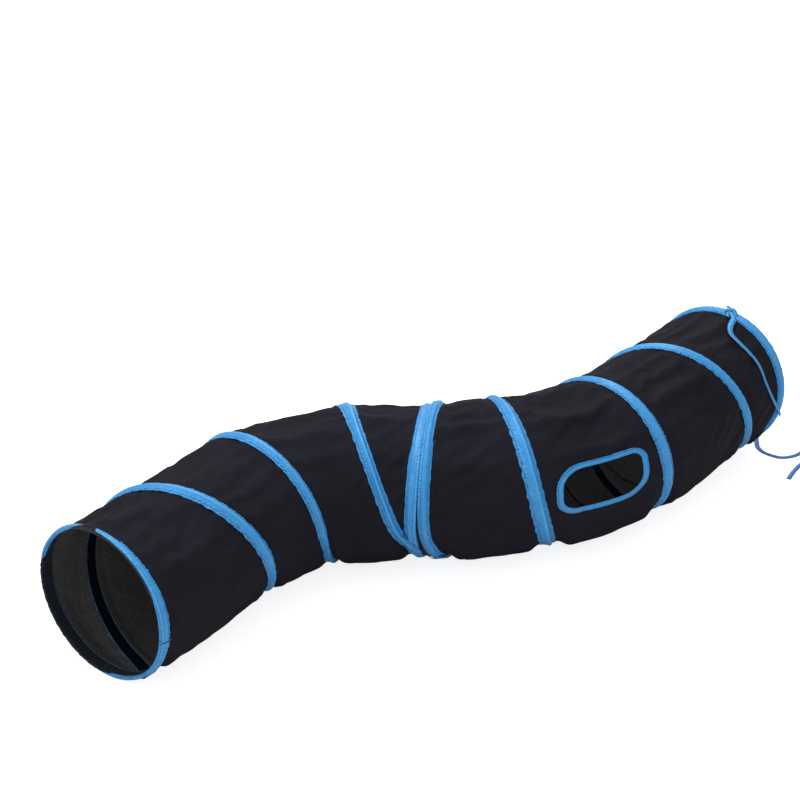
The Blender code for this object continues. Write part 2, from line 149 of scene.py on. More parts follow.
class Section:
    """Half of the tunnel: its centreline, its coil, where it is cut, and the bodies it rides on."""

    def __init__(self, name, arcs, coil, bodies):
        self.name = name
        self.arcs = arcs
        self.bodies = bodies
        self.seam_first = name == "rear"
        self.length = sum(length for length, turn in arcs)
        self.coil_marks = np.array(coil) * MM
        borders = [arcs[0][0], arcs[0][0] + arcs[1][0], self.length - arcs[3][0]]
        self.cuts = [TAPE_WIDTH] + borders + [self.length - TAPE_WIDTH]
        self.start = (0.0, 0.0, 0.0)

    def lean(self, distance):
        """The turn of a cross-section against the centreline: it grows towards the seam."""
        if self.seam_first:
            share = (self.cuts[1] - distance) / (self.cuts[1] - self.cuts[0])
        else:
            share = (distance - self.cuts[-2]) / (self.cuts[-1] - self.cuts[-2])
        return SEAM_LEAN * np.clip(share, 0, 1)

    def plan(self, distance):
        """x, y and heading in the world of the cross-sections at an array of distances."""
        distance = np.asarray(distance, float)
        nearest = np.clip(distance, self.cuts[0], self.cuts[-1])
        x, y, heading = walk(self.arcs, nearest)
        heading = heading + self.lean(nearest)
        x = x + (distance - nearest) * np.cos(heading)
        y = y + (distance - nearest) * np.sin(heading)
        start_x, start_y, turn = self.start
        world_x = start_x + x * math.cos(turn) - y * math.sin(turn)
        world_y = start_y + x * math.sin(turn) + y * math.cos(turn)
        return world_x, world_y, heading + turn

    def put(self, distance, place_x, place_y, heading):
        """Moves the section so that the cross-section at a distance has this place and heading."""
        self.start = (0.0, 0.0, 0.0)
        x, y, turn = (float(value) for value in self.plan(distance))
        spin = heading - turn
        shift_x = place_x - (x * math.cos(spin) - y * math.sin(spin))
        shift_y = place_y - (x * math.sin(spin) + y * math.cos(spin))
        self.start = (shift_x, shift_y, spin)

    def closed_width(self, zone, border):
        """The share of its width that a zone keeps at one of its cut planes when it is closed."""
        if zone in (0, len(self.cuts)):
            return 1.0
        middle = (self.cuts[zone - 1] + self.cuts[zone]) / 2
        across = self.plan(self.cuts[border])[2] - self.plan(middle)[2]
        return math.hypot(math.cos(across), CLOSED_SHARE * math.sin(across))

    def near_lip(self, distance, fade):
        """1 under the tape of the ring at the seam, falling to 0 further away."""
        from_lip = distance if self.seam_first else self.length - distance
        return 1 - smooth((from_lip - TAPE_WIDTH) / fade)

    def shifted(self, distance, angle):
        """Distances near the seam, where the rings lean apart at the floor and drag their feet."""
        low = (1 - np.sin(angle)) / 2
        apart = SEAM_CLOSING - SEAM_OPENING * low ** 3
        foot = smooth((angle % math.tau - math.radians(185)) / math.radians(60))
        foot = foot * (1 - smooth((angle % math.tau - math.radians(255)) / math.radians(80)))
        way = -1 if self.seam_first else 1
        apart = way * apart * self.near_lip(distance, SEAM_FADE)
        return distance + apart + SEAM_SWEEP * foot * self.near_lip(distance, SWEEP_FADE)

    def points(self, distance, angle, radius):
        """World points by distance along, angle from the far side over the top, and radius."""
        distance, angle, radius = np.broadcast_arrays(distance, angle, radius)
        x, y, heading = self.plan(self.shifted(distance, angle))
        across = radius * np.cos(angle)
        up = AXIS_HEIGHT + radius * np.sin(angle)
        if not self.seam_first:
            up = up - SEAM_DIP * smooth(np.sin(angle)) * self.near_lip(distance, SEAM_FADE)
            neck = smooth(distance / NECK_WIDTH) * (1 - smooth((distance - NECK_WIDTH) / NECK_FADE))
            up = up - NECK_DEPTH * neck * smooth((np.cos(angle - NECK_ANGLE) - 0.4) / 0.6)
        else:
            across = across - SWAY * smooth((distance - self.length + SWAY_REACH) / SWAY_REACH)
        pressed = np.maximum(0.3 * (RIDGE_RADIUS + 1.5 * MM - radius), FLOOR_GAP)
        up = np.maximum(up, pressed)
        return np.stack((x - across * np.sin(heading), y + across * np.cos(heading), up), axis=-1)

    def coil_distance(self, turn):
        """How far along the coil is after so many turns from the floor, by a monotone cubic."""
        marks = self.coil_marks
        turn = np.clip(turn, TURN_MARKS[0], TURN_MARKS[-1])
        slopes = np.diff(marks) / np.diff(TURN_MARKS)
        inner = 2 * slopes[:-1] * slopes[1:] / (slopes[:-1] + slopes[1:])
        knots = np.concatenate(([slopes[0]], inner, [slopes[-1]]))
        i = np.clip(np.searchsorted(TURN_MARKS, turn, side="right") - 1, 0, len(slopes) - 1)
        width = TURN_MARKS[i + 1] - TURN_MARKS[i]
        u = (turn - TURN_MARKS[i]) / width
        return (
            marks[i] * (1 + 2 * u) * (1 - u) ** 2
            + marks[i + 1] * u * u * (3 - 2 * u)
            + width * knots[i] * u * (1 - u) ** 2
            - width * knots[i + 1] * u * u * (1 - u)
        )

    def coil_slope(self, turn):
        """The slope of the coil: how far along it goes for each unit round the tube."""
        reach = 0.01
        low = np.clip(turn - reach, TURN_MARKS[0], TURN_MARKS[-1] - reach)
        high = low + 2 * reach
        rise = self.coil_distance(high) - self.coil_distance(low)
        return rise / ((high - low) * math.tau * RIDGE_RADIUS)


def turn_angle(turn):
    """Turns are counted from the floor line, up the far side and down the near side."""
    return math.tau * turn - math.pi / 2


def ripple(position, wavelength, seed, parts=4):
    """Smooth irregular waves between about -1 and 1 along a position."""
    draw = np.random.default_rng(seed)
    total = np.zeros_like(position)
    for _ in range(parts):
        stretch = draw.uniform(0.65, 1.6)
        phase = draw.uniform(0, math.tau)
        total = total + np.sin(math.tau * position / (wavelength * stretch) + phase)
    return total / math.sqrt(parts)


def ring_ripple(angle, counts, seed):
    """Smooth irregular waves round a ring, which meet where the ring closes."""
    draw = np.random.default_rng(seed)
    total = np.zeros_like(angle)
    for count in counts:
        total = total + draw.uniform(0.5, 1.2) * np.sin(count * angle + draw.uniform(0, math.tau))
    return total / math.sqrt(len(counts))


# ---------------------------------------------------------------- meshes


def grid_mesh(name, points, uv, close_rows=False, close_columns=False):
    """A smooth mesh over a grid of points[row][column], with a UV map in millimetres."""
    rows, columns = points.shape[:2]
    row = np.arange(rows if close_rows else rows - 1)
    column = np.arange(columns if close_columns else columns - 1)
    r, c = (part.ravel() for part in np.meshgrid(row, column, indexing="ij"))
    r_after, c_after = r + 1, c + 1
    corners = ((r, c), (r, c_after), (r_after, c_after), (r_after, c))
    faces = np.stack([(a % rows) * columns + b % columns for a, b in corners], axis=-1)
    data = bpy.data.meshes.new(name)
    data.from_pydata(points.reshape(-1, 3).tolist(), [], faces.tolist())
    layer = data.uv_layers.new(name="millimetres")
    spots = np.stack([uv[a, b] for a, b in corners], axis=1)
    layer.data.foreach_set("uv", spots.astype(np.float32).ravel())
    data.polygons.foreach_set("use_smooth", np.ones(len(data.polygons), bool))
    item = bpy.data.objects.new(name, data)
    bpy.context.scene.collection.objects.link(item)
    return item


def uv_grid(along, across):
    """UV values for every row and column, one row or column longer where a mesh closes."""
    return np.stack(np.broadcast_arrays(along, across), axis=-1) / MM


def keep_normals(item):
    """Stores the vertex normals of a whole piece, so that its cut lengths still shade as one."""
    flat = np.empty(len(item.data.vertices) * 3, np.float32)
    item.data.vertex_normals.foreach_get("vector", flat)
    layer = item.data.attributes.new(NORMAL_LAYER, "FLOAT_VECTOR", "POINT")
    layer.data.foreach_set("vector", flat)


def use_kept_normals(item):
    layer = item.data.attributes[NORMAL_LAYER]
    flat = np.empty(len(item.data.vertices) * 3, np.float32)
    layer.data.foreach_get("vector", flat)
    item.data.normals_split_custom_set_from_vertices(flat.reshape(-1, 3).tolist())


def applied(item):
    """Replaces an object's modifiers by the mesh they make."""
    graph = bpy.context.evaluated_depsgraph_get()
    made = bpy.data.meshes.new_from_object(item.evaluated_get(graph))
    item.modifiers.clear()
    item.data = made
    return item


def add_allowance(shape, edges, section, zone, border):
    """Turns a cut edge inwards where the next zone closes narrower, so that no slit opens there."""
    neighbour = zone - 1 if border == zone - 1 else zone + 1
    wider = section.closed_width(zone, border) - section.closed_width(neighbour, border)
    if wider <= 0:
        return
    depth = wider * FABRIC_RADIUS + ALLOWANCE
    x, y, _ = section.plan(section.cuts[border])
    middle = Vector((float(x), float(y), AXIS_HEIGHT))
    made = bmesh.ops.extrude_edge_only(shape, edges=edges)["geom"]
    for corner in made:
        if isinstance(corner, bmesh.types.BMVert):
            corner.co += (middle - corner.co).normalized() * depth


def cut_length(whole, name, section, zone, allowance):
    """A copy of the stretch of a piece between two cut planes of a section."""
    shape = bmesh.new()
    shape.from_mesh(whole.data)
    for border, keeps_ahead in ((zone - 1, True), (zone, False)):
        if 0 <= border < len(section.cuts):
            x, y, heading = (float(v) for v in section.plan(section.cuts[border]))
            cut = bmesh.ops.bisect_plane(
                shape,
                geom=shape.verts[:] + shape.edges[:] + shape.faces[:],
                plane_co=(x, y, 0),
                plane_no=(math.cos(heading), math.sin(heading), 0),
                clear_inner=keeps_ahead,
                clear_outer=not keeps_ahead,
            )
            if allowance:
                edges = [part for part in cut["geom_cut"] if isinstance(part, bmesh.types.BMEdge)]
                add_allowance(shape, edges, section, zone, border)
    if not shape.faces:
        shape.free()
        return None
    data = bpy.data.meshes.new(name)
    shape.to_mesh(data)
    shape.free()
    for finish in whole.data.materials:
        data.materials.append(finish)
    item = bpy.data.objects.new(name, data)
    bpy.context.scene.collection.objects.link(item)
    use_kept_normals(item)
    return item


def cut_and_ride(whole, section, label):
    """Cuts a piece of a section at the section's planes; each length rides and folds with its body."""
    keep_normals(whole)
    for zone, body in enumerate(section.bodies):
        is_panel = 0 < zone < len(section.bodies) - 1
        ring_label = "hem_cloth" if label == "fabric" else label
        name = f"{body}_{label if is_panel else ring_label}_look"
        piece = cut_length(whole, name, section, zone, allowance=label == "fabric")
        if piece is None:
            continue
        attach(piece, body)
        if is_panel:
            middle = (section.cuts[zone - 1] + section.cuts[zone]) / 2
            x, y, heading = (float(v) for v in section.plan(middle))
            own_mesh(piece)
            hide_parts(f"{body}_{label}")
    bpy.data.objects.remove(whole)


# ---------------------------------------------------------------- materials


class Nodes:
    """A short way to build a node tree."""

    def __init__(self, name):
        self.material = bpy.data.materials.new(name)
        self.material.use_nodes = True
        self.tree = self.material.node_tree
        self.shader = self.tree.nodes["Principled BSDF"]
        self.output = self.tree.nodes["Material Output"]

    def add(self, kind, inputs=None, **settings):
        made = self.tree.nodes.new(kind)
        for key, value in settings.items():
            setattr(made, key, value)
        for key, value in (inputs or {}).items():
            self.connect(value, made.inputs[key])
        return made

    def connect(self, value, socket):
        if isinstance(value, bpy.types.NodeSocket):
            self.tree.links.new(value, socket)
        else:
            socket.default_value = value

    def math(self, operation, first, second=0.0, clamp=False):
        made = self.add("ShaderNodeMath", {0: first, 1: second}, operation=operation)
        made.use_clamp = clamp
        return made.outputs[0]

    def mix(self, share, first, second):
        made = self.add("ShaderNodeMix", data_type="RGBA")
        self.connect(share, made.inputs["Factor"])
        self.connect(first, made.inputs["A"])
        self.connect(second, made.inputs["B"])
        return made.outputs["Result"]

    def band(self, value, middle, half_width, soft):
        """1 where a value is within half_width of the middle, falling to 0 over soft."""
        away = self.math("ABSOLUTE", self.math("SUBTRACT", value, middle))
        past = self.math("SUBTRACT", half_width + soft, away)
        return self.math("DIVIDE", past, soft, clamp=True)

    def millimetres(self):
        """The two coordinates of the piece's UV map: along and across, in millimetres."""
        source = self.add("ShaderNodeUVMap", uv_map="millimetres")
        parts = self.add("ShaderNodeSeparateXYZ", {0: source.outputs[0]})
        return source.outputs[0], parts.outputs[0], parts.outputs[1]

    def low(self):
        """1 at the floor, falling to 0 a little below the middle of the tube."""
        place = self.add("ShaderNodeTexCoord").outputs["Object"]
        height = self.add("ShaderNodeSeparateXYZ", {0: place}).outputs[2]
        return self.math("SUBTRACT", 1.0, self.math("DIVIDE", height, 110 * MM), clamp=True)

    def noise(self, vector, scale, detail=3.0, stretch=(1, 1, 1)):
        place = self.add("ShaderNodeMapping", {"Vector": vector, "Scale": stretch})
        made = self.add(
            "ShaderNodeTexNoise",
            {"Vector": place.outputs[0], "Scale": scale, "Detail": detail},
        )
        return made.outputs["Fac"]

    def weave(self, along, across, pitch):
        """Threads over and under each other at a pitch in millimetres."""
        waves = []
        for part in (along, across):
            waves.append(self.math("SINE", self.math("MULTIPLY", part, math.tau / pitch)))
        return self.math("MULTIPLY", waves[0], waves[1])

    def bump(self, height, distance, strength=1.0, normal=None):
        inputs = {"Height": height, "Distance": distance, "Strength": strength}
        if normal is not None:
            inputs["Normal"] = normal
        return self.add("ShaderNodeBump", inputs).outputs[0]

    def finish(self, **inputs):
        for key, value in inputs.items():
            self.connect(value, self.shader.inputs[key.replace("_", " ")])
        return self.material


LIGHT_THROUGH = 0.0095  # how brightly the thin cloth glows inside: a painted glow, emission standing in for the light from outside that comes through it


def black_cloth():
    """Thin black polyester: outside, paler blotches in the colour, partly random tone and partly painted
    sheen; inside a paler weave, painted light where light comes through, with painted shade under the
    tapes.
    """
    nodes = Nodes("black_cloth")
    vector, along, across = nodes.millimetres()
    low = nodes.low()
    strand = nodes.add("ShaderNodeAttribute", attribute_name=STRAND_LAYER).outputs["Fac"]
    inside = nodes.add("ShaderNodeNewGeometry").outputs["Backfacing"]
    blotches = nodes.noise(vector, 0.012, detail=2)
    grain = nodes.noise(vector, 0.42, detail=4)
    grain = nodes.math("POWER", nodes.math("MULTIPLY", grain, 1.7), 2.2)
    # painted sheen: the large paler blotches of the outside colour are partly random tone and partly a
    # painted soft sheen
    outside_colour = nodes.mix(blotches, (0.0118, 0.0116, 0.0168, 1), (0.0192, 0.0187, 0.0264, 1))
    # painted light: the inside is paler than the outside, standing in for light coming through the thin
    # cloth
    inside_colour = nodes.mix(grain, (0.020, 0.019, 0.0195, 1), (0.066, 0.063, 0.064, 1))
    # painted shade: inside, the cloth under the tapes is darker, where the tapes keep light from coming
    # through
    covered = nodes.band(strand, 0.0, 9.0, 0.8)
    inside_colour = nodes.mix(covered, inside_colour, (0.005, 0.008, 0.0155, 1))
    row = nodes.math("MULTIPLY", nodes.band(strand, 9.3, 0.35, 0.5), low)
    inside_colour = nodes.mix(row, inside_colour, (0.11, 0.26, 0.42, 1))
    colour = nodes.mix(inside, outside_colour, inside_colour)
    # painted glow: emission inside the tube, off under the tapes, standing in for light coming through
    through = nodes.math("MULTIPLY", inside, nodes.math("SUBTRACT", 1.0, covered))
    through = nodes.math("MULTIPLY", through, nodes.math("MULTIPLY", grain, LIGHT_THROUGH))
    near_tape = nodes.math("SUBTRACT", 1.0, nodes.math("DIVIDE", strand, 24.0), clamp=True)
    gathers = nodes.noise(vector, 0.17, detail=2, stretch=(0.22, 1, 1))
    gathers = nodes.math("MULTIPLY", gathers, nodes.math("POWER", near_tape, 1.5))
    folds = nodes.noise(vector, 0.016, detail=2, stretch=(0.7, 1, 1))
    creases = nodes.noise(vector, 0.05, detail=2, stretch=(0.35, 1, 1))
    normal = nodes.bump(nodes.weave(along, across, 0.9), 0.06 * MM, 0.4)
    normal = nodes.bump(grain, 0.2 * MM, 0.4, normal)
    normal = nodes.bump(gathers, 3.0 * MM, 0.7, normal)
    normal = nodes.bump(creases, 2.0 * MM, 0.5, normal)
    normal = nodes.bump(folds, 9.0 * MM, 0.6, normal)
    return nodes.finish(
        Base_Color=colour,
        Roughness=0.62,
        Specular_IOR_Level=0.035,
        Specular_Tint=(0.80, 0.78, 1.0, 1),
        Emission_Color=(1.0, 0.96, 0.99, 1),
        Emission_Strength=through,
        Normal=normal,
    )


def hem_cloth():
    """The facing inside a lip, its black darkened further as painted shade where the tape keeps light out,
    gathered by its stitching, with a pale blue row of stitches.
    """
    nodes = Nodes("hem_cloth")
    vector, along, across = nodes.millimetres()
    blotches = nodes.noise(vector, 0.08)
    # painted shade: darker and bluer than the black cloth outside, like the cloth under the tapes inside
    # the tube
    colour = nodes.mix(blotches, (0.004, 0.0065, 0.012, 1), (0.011, 0.016, 0.026, 1))
    dash = nodes.math("GREATER_THAN", nodes.math("SINE", nodes.math("MULTIPLY", along, 2.2)), -0.8)
    row = nodes.math("MULTIPLY", nodes.band(across, 18.6, 0.35, 0.4), dash)
    row = nodes.math("MULTIPLY", row, nodes.math("ADD", 0.3, nodes.low()), clamp=True)
    colour = nodes.mix(row, colour, (0.10, 0.24, 0.40, 1))
    gathers = nodes.noise(vector, 0.24, detail=2, stretch=(1, 0.25, 1))
    normal = nodes.bump(nodes.weave(along, across, 0.9), 0.06 * MM, 0.5)
    normal = nodes.bump(gathers, 3.0 * MM, 0.9, normal)
    return nodes.finish(
        Base_Color=colour, Roughness=0.6, Specular_IOR_Level=0.3, Sheen_Weight=0.05, Normal=normal
    )


def blue_tape(name, half_width, rows, ridge=None, lapped=False, deep=False):
    """Satin binding tape: fine ribs across it, stitched rows near its edges, slight gathers, with painted
    highlights and painted shade.
    """
    nodes = Nodes(name)
    vector, along, across = nodes.millimetres()
    blotches = nodes.noise(vector, 0.04, detail=3)
    # partly painted highlight: the pale blotches vary the tone at random and stand in for the satin's
    # highlights
    pale, dark = ((0.092, 0.530, 1.0, 1), (0.022, 0.240, 0.70, 1))
    if deep:
        pale, dark = ((0.030, 0.290, 0.900, 1), (0.010, 0.110, 0.560, 1))
    colour = nodes.mix(blotches, dark, pale)
    fine = nodes.noise(vector, 0.32, detail=3, stretch=(0.5, 1, 1))
    fine = nodes.math("POWER", fine, 2.0)
    colour = nodes.mix(nodes.math("MULTIPLY", fine, 0.9), colour, (0.014, 0.140, 0.480, 1))
    if ridge is not None:
        # painted highlight: a pale line along the crest over the wire; painted shade: a dark line just past
        # it
        crest_highlight = nodes.band(across, ridge, 0.5, 0.8)
        colour = nodes.mix(nodes.math("MULTIPLY", crest_highlight, 0.5), colour, (0.160, 0.620, 1.0, 1))
        crease_shade = nodes.band(across, ridge + 2.2, 0.3, 0.5)
        colour = nodes.mix(nodes.math("MULTIPLY", crease_shade, 0.45), colour, (0.012, 0.110, 0.420, 1))
    ribs = nodes.math("SINE", nodes.math("MULTIPLY", along, math.tau / 1.1))
    stitches = nodes.math("SINE", nodes.math("MULTIPLY", along, math.tau / 4.0))
    dashes = nodes.math("GREATER_THAN", stitches, 0.1)
    dips = 0.0
    for place in rows:
        line = nodes.band(across, place, 0.35, 0.35)
        dips = nodes.math("ADD", dips, line)
        thread = nodes.math("MULTIPLY", line, dashes)
        colour = nodes.mix(nodes.math("MULTIPLY", thread, 0.75), colour, (0.010, 0.075, 0.300, 1))
    if lapped:
        # painted shade: a dark line at the step where the lapped end of the tape meets its other end
        end = nodes.band(along, 0.0, 0.5, 0.4)
        colour = nodes.mix(end, colour, (0.004, 0.020, 0.080, 1))
    edge = nodes.math("DIVIDE", nodes.math("ABSOLUTE", across), half_width, clamp=True)
    slanted = nodes.add("ShaderNodeMapping", {"Vector": vector, "Rotation": (0, 0, 0.6)}).outputs[0]
    gathers = nodes.noise(slanted, 0.33, detail=2, stretch=(1, 0.3, 1))
    # painted shade: dark lines in the creases of the gathers, near the edges and in some patches only
    crease_shade = nodes.band(gathers, 0.56, 0.02, 0.05)
    patches = nodes.math("SUBTRACT", nodes.math("MULTIPLY", blotches, 4.0), 1.7, clamp=True)
    crease_shade = nodes.math("MULTIPLY", nodes.math("MULTIPLY", crease_shade, edge), patches)
    colour = nodes.mix(nodes.math("MULTIPLY", crease_shade, 0.8), colour, (0.012, 0.100, 0.400, 1))
    gathers = nodes.math("MULTIPLY", gathers, nodes.math("POWER", edge, 1.2))
    normal = nodes.bump(ribs, 0.05 * MM, 0.35)
    normal = nodes.bump(dips, 0.6 * MM, 0.8, normal)
    normal = nodes.bump(gathers, 5.0 * MM, 0.9, normal)
    return nodes.finish(
        Base_Color=colour,
        Roughness=0.38,
        Specular_IOR_Level=0.75,
        Specular_Tint=(0.55, 0.9, 1.0, 1),
        Sheen_Weight=0.10,
        Sheen_Roughness=0.3,
        Sheen_Tint=(0.5, 0.9, 1.0, 1),
        Normal=normal,
    )


def metal(name, dark, bright, roughness):
    """Drawn or pressed metal with faint streaks."""
    nodes = Nodes(name)
    place = nodes.add("ShaderNodeTexCoord").outputs["Object"]
    streaks = nodes.noise(place, 900.0, detail=3)
    colour = nodes.mix(streaks, dark, bright)
    normal = nodes.bump(streaks, 0.05 * MM, 0.3)
    return nodes.finish(Base_Color=colour, Metallic=1.0, Roughness=roughness, Normal=normal)


# ---------------------------------------------------------------- the cloth tube


def strand_layout(section, angle):
    """The distances of every tape strand at each angle: the two end rings and the coil between."""
    turn = (angle + math.pi / 2) / math.tau % 1.0
    strands = [np.full_like(angle, TAPE_WIDTH / 2)]
    slopes = [np.zeros_like(angle)]
    for whole in (-1, 0, 1, 2):
        strands.append(section.coil_distance(whole + turn))
        slopes.append(section.coil_slope(whole + turn))
    strands.append(np.full_like(angle, section.length - TAPE_WIDTH / 2))
    slopes.append(np.zeros_like(angle))
    return np.array(strands), np.array(slopes)


def nearest_strand(section, distance, angle):
    """The signed distance square to the nearest tape strand."""
    strands, slopes = strand_layout(section, angle)
    offsets = (distance - strands) / np.sqrt(1 + slopes ** 2)
    closest = np.abs(offsets).argmin(axis=0)
    return np.take_along_axis(offsets, closest[None], axis=0)[0]


def fullness(section, strand, distance, angle):
    """How far the cloth stands out between its tapes: it sags low down, where it meets the floor."""
    free = smooth((np.abs(strand) - 12.5 * MM) / (17 * MM))
    if section.seam_first:
        free = free * smooth((peephole_offset(distance, angle) - PEEPHOLE_BINDING) / (25 * MM))
    return free * (FULLNESS[section.name] + BELLY * smooth((-np.sin(angle) - 0.15) / 0.7))


def peephole_offset(distance, angle):
    """How far outside the edge of the peephole a point is, negative inside it."""
    x = distance - PEEPHOLE_CENTRE
    y = -((angle - PEEPHOLE_ANGLE + math.pi) % math.tau - math.pi) * FABRIC_RADIUS
    quadrants = [(x > 0) & (y > 0), (x <= 0) & (y > 0), (x <= 0) & (y <= 0), (x > 0) & (y <= 0)]
    corner = np.select(quadrants, PEEPHOLE_CORNERS)
    past_x = np.abs(x) - (PEEPHOLE_LENGTH / 2 - corner)
    past_y = np.abs(y) - (PEEPHOLE_HEIGHT / 2 - corner)
    outside = np.hypot(np.maximum(past_x, 0), np.maximum(past_y, 0))
    return outside + np.minimum(np.maximum(past_x, past_y), 0) - corner


def cloth_tube(section):
    """The fabric of a section, full between the strands and settled by a cloth simulation."""
    rows = int(round(section.length / CLOTH_STEP)) + 1
    columns = int(round(math.tau * FABRIC_RADIUS / CLOTH_STEP / 4)) * 4
    distance, angle = np.meshgrid(
        np.linspace(0, section.length, rows),
        np.arange(columns + 1) * math.tau / columns,
        indexing="ij",
    )
    uv = uv_grid(distance, angle * FABRIC_RADIUS)
    distance, angle = distance[:, :-1], angle[:, :-1]
    strand = nearest_strand(section, distance, angle)
    free = smooth((np.abs(strand) - 8 * MM) / (10 * MM))
    folds = ripple(angle * FABRIC_RADIUS + 0.4 * distance, 45 * MM, 11) * ripple(distance, 90 * MM, 12)
    radius = FABRIC_RADIUS + fullness(section, strand, distance, angle) + 0.9 * MM * folds * free
    if not section.seam_first:
        radius = radius + mouth_bulge(distance, angle)
    points = section.points(distance, angle, radius)
    tube = grid_mesh(f"{section.name}_cloth", points, uv, close_columns=True)
    set_layer(tube, np.abs(strand).ravel() / MM)
    hold = np.abs(strand) < 8.5 * MM
    if section.seam_first:
        outside = peephole_offset(distance, angle)
        hold |= (outside > 0) & (outside < PEEPHOLE_BINDING)
        remove_points(tube, np.flatnonzero((outside < 2.5 * MM).ravel()))
        hold = hold.ravel()[(outside >= 2.5 * MM).ravel()]
    settle(tube, np.flatnonzero(hold.ravel()))
    finer = tube.modifiers.new("Finer", "SUBSURF")
    finer.levels = 1
    finer.render_levels = 1
    return applied(tube)


TUCK_ANGLE = math.radians(79)
TUCK_REACH_FAR = math.radians(16)
TUCK_REACH_NEAR = math.radians(36)


def mouth_tuck(angle):
    """1 on top of the front mouth, where a tuck of the cloth stands proud of the tape and hides it."""
    away = (angle - TUCK_ANGLE + math.pi) % math.tau - math.pi
    return smooth(1 - np.abs(away) / np.where(away > 0, TUCK_REACH_NEAR, TUCK_REACH_FAR))


def mouth_bulge(distance, angle):
    """How far the cloth of the tuck stands out beyond the tube."""
    return 6.5 * MM * mouth_tuck(angle) * (1 - smooth((distance - 12 * MM) / (22 * MM)))


def set_layer(item, values):
    layer = item.data.attributes.new(STRAND_LAYER, "FLOAT", "POINT")
    layer.data.foreach_set("value", values.astype(np.float32))


def remove_points(item, numbers):
    shape = bmesh.new()
    shape.from_mesh(item.data)
    shape.verts.ensure_lookup_table()
    bmesh.ops.delete(shape, geom=[shape.verts[int(n)] for n in numbers], context="VERTS")
    shape.to_mesh(item.data)
    shape.free()


def settle(item, held):
    """Lets the cloth hang for a second, held where tape is sewn to it, and lays it flat on the floor."""
    group = item.vertex_groups.new(name="sewn")
    group.add([int(n) for n in held], 1.0, "REPLACE")
    cloth = item.modifiers.new("Cloth", "CLOTH")
    cloth.point_cache.frame_start = 1
    cloth.point_cache.frame_end = CLOTH_FRAMES
    setup = cloth.settings
    setup.vertex_group_mass = "sewn"
    setup.quality = 5
    setup.mass = 0.004
    setup.tension_stiffness = 12
    setup.compression_stiffness = 6
    setup.shear_stiffness = 4
    setup.bending_stiffness = 0.05
    setup.air_damping = 2
    setup.shrink_min = -0.008
    scene = bpy.context.scene
    scene.frame_start = 1
    scene.frame_end = CLOTH_FRAMES
    for number in range(1, CLOTH_FRAMES + 1):
        scene.frame_set(number)
    applied(item)
    for corner in item.data.vertices:
        corner.co.z = max(corner.co.z, FLOOR_GAP)


# ---------------------------------------------------------------- tapes and wires


COIL_PROFILE = (
    # offset square to the strand, radius, both in millimetres
    (-10.4, 120.1),
    (-10.7, 120.7),
    (-10.1, 121.3),
    (-9.0, 121.2),
    (-8.2, 120.8),
    (-7.2, 121.5),
    (-5.4, 122.0),
    (-3.4, 122.7),
    (-1.6, 123.6),
    (0.0, 124.6),
    (1.2, 125.0),
    (2.4, 125.1),
    (3.4, 124.6),
    (4.2, 123.2),
    (5.0, 122.0),
    (6.2, 121.2),
    (7.2, 120.9),
    (8.2, 121.3),
    (9.0, 121.2),
    (9.4, 120.7),
    (9.1, 120.1),
)


def puckers(run, across, seed):
    """Small slanting puckers that the stitching draws into a tape, strong in some places only."""
    slant = run + 0.8 * across
    small = ripple(slant, 6.5 * MM, seed) * ripple(run, 34 * MM, seed + 1)
    return small + 0.6 * ripple(slant, 13 * MM, seed + 2)


def coil_tape(section):
    """The tape over the coil, from one end ring to the other, with slightly gathered edges."""
    step = 2.0 * MM
    count = int(COIL_TURNS * math.tau * RIDGE_RADIUS / step)
    turn = np.linspace(TURN_MARKS[0], TURN_MARKS[-1], count)[:, None]
    turn = turn[section.coil_distance(turn) < section.length - 4 * MM][:, None]
    offset, radius = (np.array(part) * MM for part in zip(*COIL_PROFILE))
    run = turn * math.tau * RIDGE_RADIUS
    slope = section.coil_slope(turn)
    lean = np.sqrt(1 + slope ** 2)
    edge = np.abs(offset) / (TAPE_WIDTH / 2)
    scallop = np.abs(np.sin(math.pi * run / (4.4 * MM))) * 0.4 * MM + ripple(run, 24 * MM, 3) * 0.45 * MM
    offset = offset + np.sign(offset) * scallop * edge ** 4
    offset = offset * (TAPE_EASE[section.name] + 0.05 * ripple(run, 170 * MM, 6))
    offset = offset * (1 + 0.2 * smooth((turn - 2.8) / 0.1))
    radius = radius + puckers(run, offset, 70) * 0.55 * MM * edge
    along = section.coil_distance(turn) + offset / lean
    around = turn_angle(turn) - offset * slope / lean / RIDGE_RADIUS
    for lip_distance in (along, section.length - along):
        over = 1 - smooth((lip_distance - 17 * MM) / (5 * MM))
        radius = radius + over * np.maximum(125.6 * MM - radius, 0)
    points = section.points(along, around, radius)
    return grid_mesh(f"{section.name}_tape", points, uv_grid(run, offset))


def coil_wire(section):
    """The round wire under the coil tape."""
    count = int(COIL_TURNS * math.tau * RIDGE_RADIUS / (6 * MM))
    turn = np.linspace(TURN_MARKS[0], TURN_MARKS[-1], count)[:, None]
    turn = turn[section.coil_distance(turn) < section.length - TAPE_WIDTH / 2][:, None]
    swing = (np.arange(9) * math.tau / 8)[None]
    along = section.coil_distance(turn) + WIRE_RADIUS * np.cos(swing)
    radius = WIRE_PATH_RADIUS + WIRE_RADIUS * np.sin(swing)
    points = section.points(along, turn_angle(turn), radius)
    uv = uv_grid(turn * math.tau * RIDGE_RADIUS, swing * WIRE_RADIUS)
    return grid_mesh(f"{section.name}_wire", points[:, :-1], uv, close_columns=True)


